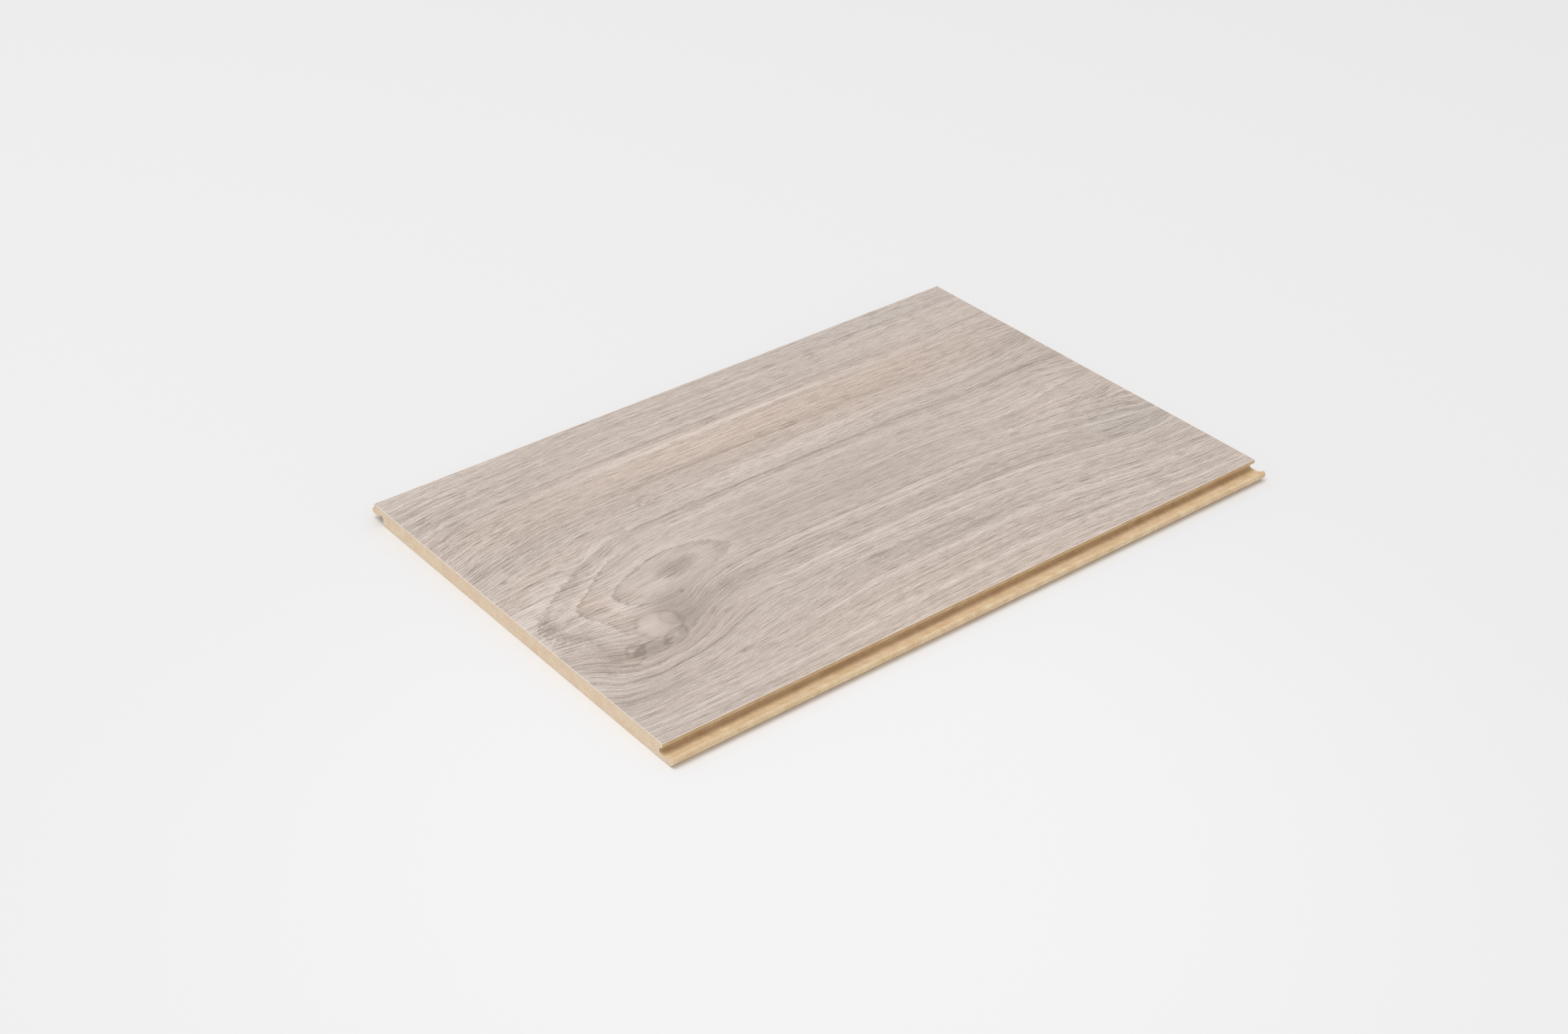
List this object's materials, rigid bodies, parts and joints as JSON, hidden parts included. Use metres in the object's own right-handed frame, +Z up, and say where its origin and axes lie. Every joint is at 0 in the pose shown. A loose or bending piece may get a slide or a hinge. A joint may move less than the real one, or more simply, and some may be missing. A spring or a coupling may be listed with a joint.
{
  "type": "laminate floor sample",
  "caption": "Short piece of laminate floor board with an oak decor face and a click joint milled on its two long edges.",
  "frame": {"origin": "on the underside, below the middle of the visible face", "axes": "+X along the board and its grain, to the far sawn end; +Y across, to the tongue edge; -Y to the groove edge with the lower lip; +Z up out of the wear face"},
  "size_m": [0.288, 0.1977, 0.007],
  "materials": {
    "decor": "melamine wear layer over printed greige oak, embossed, low sheen",
    "fibreboard": "milled and sawn high-density fibreboard",
    "backing": "resin-soaked kraft paper"
  },
  "bodies": {
    "root": {"decor_layer": "decor", "hdf_core": "fibreboard", "backing_layer": "backing"}
  },
  "joints": []
}
